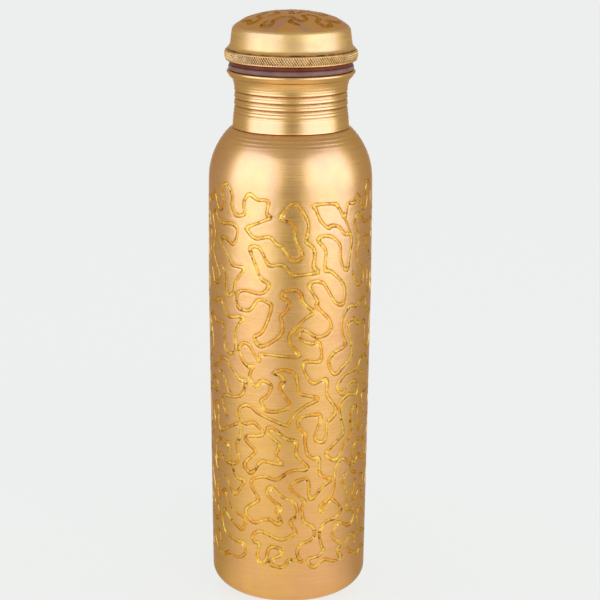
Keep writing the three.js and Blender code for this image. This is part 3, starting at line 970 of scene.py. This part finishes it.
# grey silicone; its warm mauve tint is painted reflection of the copper around it
silicone_with_copper_cast = soft("gasket_silicone", rgb(0.36, 0.2, 0.165), rgb(0.27, 0.145, 0.115), 0.5, 0.15)
# where the liner's lip shows under the bead, its dark red-brown is painted shade: copper in deep shadow
# there
brown = soft("liner_plastic", rgb(0.25, 0.05, 0.007), rgb(0.16, 0.03, 0.005), 0.42)
white = soft("seal_silicone", rgb(0.62, 0.58, 0.49), rgb(0.54, 0.5, 0.41), 0.55, 0.2)

PIECES = [
    (body_shell, (body_copper, fill, inside_copper), "bottle", "body_shell", "copper_body"),
    (neck_sleeve, (neck_copper,), "bottle", "neck_sleeve", "copper_neck"),
    (mouth_ring, (mouth_copper,), "bottle", "mouth_ring", "copper_mouth"),
    (neck_gasket, (silicone_with_copper_cast,), "bottle", "neck_gasket", "gasket_silicone"),
    (cap_shell, (cap_copper, cap_fill, inside_copper), "cap", "cap_shell", "copper_cap"),
    (cap_liner, (brown,), "cap", "cap_liner", "liner_plastic"),
    (seal_disc, (white,), "cap_seal", "cap_seal_disc", "seal_silicone"),
]
for make, materials, body, node, slot in PIECES:
    piece = make(materials)
    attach(piece, body)
    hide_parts(node)


# ---- the stage ----


def plane(name, size, z, material):
    mesh = bpy.data.meshes.new(name)
    half = size / 2
    corners = [(-half, -half, z), (half, -half, z), (half, half, z), (-half, half, z)]
    mesh.from_pydata(corners, [], [(0, 1, 2, 3)])
    mesh.materials.append(material)
    obj = bpy.data.objects.new(name, mesh)
    bpy.context.scene.collection.objects.link(obj)
    return obj


# The table's light as the metal sees it. It fades away from the bottle in front and is even behind,
# with a bright pool below each side panel and a bright strip straight behind the bottle.
GLOW_FRONT = 0.265                # divided by the distance in metres plus 0.1
GLOW_MOST = 0.96
GLOW_BACK = 0.53
GLOW_POOL = 0.9
POOL_X = 0.55
POOL_Y = -0.5
POOL_REACH = (0.15, 0.62)         # full brightness up to the first distance, none from the second
GLOW_STRIP = 0.4


def floor():
    """A pale floor that is seen directly, and the brighter table top that the metal reflects."""
    pale = Paint("pale_floor", Roughness=0.9, Specular_IOR_Level=0.0, Emission_Strength=1.0)
    pale.shader.inputs["Base Color"].default_value = rgb(0.22, 0.22, 0.22)
    pale.shader.inputs["Emission Color"].default_value = rgb(0.735, 0.75, 0.735)
    clear = pale.node("ShaderNodeBsdfTransparent").outputs[0]
    below = pale.node("ShaderNodeNewGeometry").outputs["Backfacing"]
    either = pale.node("ShaderNodeMixShader", {0: below, 1: pale.shader.outputs[0], 2: clear})
    pale.tree.links.new(either.outputs[0], pale.tree.nodes["Material Output"].inputs["Surface"])
    seen = plane("floor", size=30, z=-0.0001, material=pale.material)
    seen.visible_glossy = False

    glow = Paint("table_glow", Roughness=1.0, Specular_IOR_Level=0.0)
    glow.shader.inputs["Base Color"].default_value = rgb(0, 0, 0)
    glow.shader.inputs["Emission Color"].default_value = rgb(0.98, 1.0, 1.04)
    away = glow.node("ShaderNodeVectorMath", {0: glow.where}, operation="LENGTH").outputs["Value"]
    fading = glow.maths("DIVIDE", GLOW_FRONT, glow.maths("ADD", away, 0.1))
    front = glow.maths("MINIMUM", fading, GLOW_MOST)
    toward = glow.maths("DIVIDE", glow.node("ShaderNodeSeparateXYZ", {0: glow.where}).outputs[1], away)
    share = glow.span(toward, -0.7, 0.1)
    strength = glow.node("ShaderNodeMix", {0: share, 2: front, 3: GLOW_BACK}).outputs[0]
    for side in (-1, 1):
        inputs = {0: glow.where, 1: (POOL_X * side, POOL_Y, 0)}
        distance = glow.node("ShaderNodeVectorMath", inputs, operation="DISTANCE").outputs["Value"]
        strength = glow.maths("ADD", strength, glow.span(distance, *POOL_REACH, GLOW_POOL, 0.0))
    strip = glow.span(toward, 0.93, 0.99, 0.0, GLOW_STRIP)
    strength = glow.maths("ADD", strength, strip)
    glow.set(Emission_Strength=strength)
    table = plane("table", size=8, z=-0.0004, material=glow.material)
    table.visible_camera = False
    table.visible_diffuse = False
    table.visible_shadow = False


EDGE_TINT = (0.86, 1.0, 0.9, 1.0)
COOL_TINT = (0.74, 1.03, 2.3)
SOFT_EDGE = 0.25                  # share of a panel's width over which its light fades in
TINT_FROM = 0.45                  # share of that fade where the edge's tint starts to give way


def softbox(name, azimuth_deg, distance, width, height, radiance, tint, low=0.0):
    """An upright light panel that faces the bottle, low metres off the table. Azimuth 0 is the
    viewer's side. Towards its sides the light fades and takes the edge's tint."""
    light = bpy.data.lights.new(name, "AREA")
    light.shape = "RECTANGLE"
    light.size = width
    light.size_y = height
    light.energy = radiance * width * height * math.pi
    light.use_nodes = True
    tree = light.node_tree
    place = add_node(tree, "ShaderNodeNewGeometry").outputs["Parametric"]
    across = add_node(tree, "ShaderNodeSeparateXYZ", {0: place}).outputs[0]
    from_side = add_node(tree, "ShaderNodeMath", {0: across, 1: 0.5}, operation="PINGPONG").outputs[0]
    inputs = {"Value": from_side, "From Max": SOFT_EDGE}
    fade = add_node(tree, "ShaderNodeMapRange", inputs, interpolation_type="SMOOTHSTEP").outputs[0]
    middle = add_node(tree, "ShaderNodeMapRange", {"Value": fade, "From Min": TINT_FROM}).outputs[0]
    colors = {0: middle, 6: EDGE_TINT, 7: rgb(*tint)}
    color = add_node(tree, "ShaderNodeMix", colors, data_type="RGBA").outputs[2]
    tree.links.new(fade, tree.nodes["Emission"].inputs["Strength"])
    tree.links.new(color, tree.nodes["Emission"].inputs["Color"])
    obj = bpy.data.objects.new(name, light)
    a = math.radians(azimuth_deg)
    obj.location = (distance * math.sin(a), -distance * math.cos(a), low + height / 2)
    obj.rotation_euler = Vector((-obj.location.x, -obj.location.y, 0)).to_track_quat("-Z", "Y").to_euler()
    obj.visible_camera = False
    bpy.context.scene.collection.objects.link(obj)
    return obj


def lights():
    world = bpy.data.worlds.new("room")
    world.use_nodes = True
    background = world.node_tree.nodes["Background"]
    background.inputs["Color"].default_value = rgb(0.97, 1.0, 1.05)
    background.inputs["Strength"].default_value = 0.5
    bpy.context.scene.world = world
    left = softbox("left_softbox", -52, 0.76, 1.6, 0.9, 1.7, COOL_TINT)
    right = softbox("right_softbox", 58, 0.76, 1.6, 0.9, 1.7, COOL_TINT)
    back = softbox("back_softbox", 180, 0.95, 0.45, 0.28, 1.4, (0.95, 1.0, 1.4))
    for panel in (left, right, back):
        panel.visible_diffuse = False
    key = softbox("soft_key", 20, 1.6, 1.4, 1.0, 1.6, (1.0, 0.99, 0.97), low=0.6)
    key.visible_glossy = False


CAMERA_PLACE = (0.0045, -1.1010, 0.3887)
CAMERA_AIM_Z = 0.1345
CAMERA_ROLL_DEG = 0.36
LENS_MM = 152.4
SENSOR_MM = 36


def camera():
    lens = bpy.data.cameras.new("camera")
    lens.lens = LENS_MM
    lens.sensor_width = SENSOR_MM
    obj = bpy.data.objects.new("camera", lens)
    obj.location = CAMERA_PLACE
    target = Vector((CAMERA_PLACE[0], 0, CAMERA_AIM_Z))
    aim = (target - obj.location).to_track_quat("-Z", "Y").to_euler()
    aim.rotate_axis("Z", math.radians(CAMERA_ROLL_DEG))
    obj.rotation_euler = aim
    bpy.context.scene.collection.objects.link(obj)
    bpy.context.scene.camera = obj


floor()
lights()
camera()
bpy.context.scene.view_settings.view_transform = "Standard"
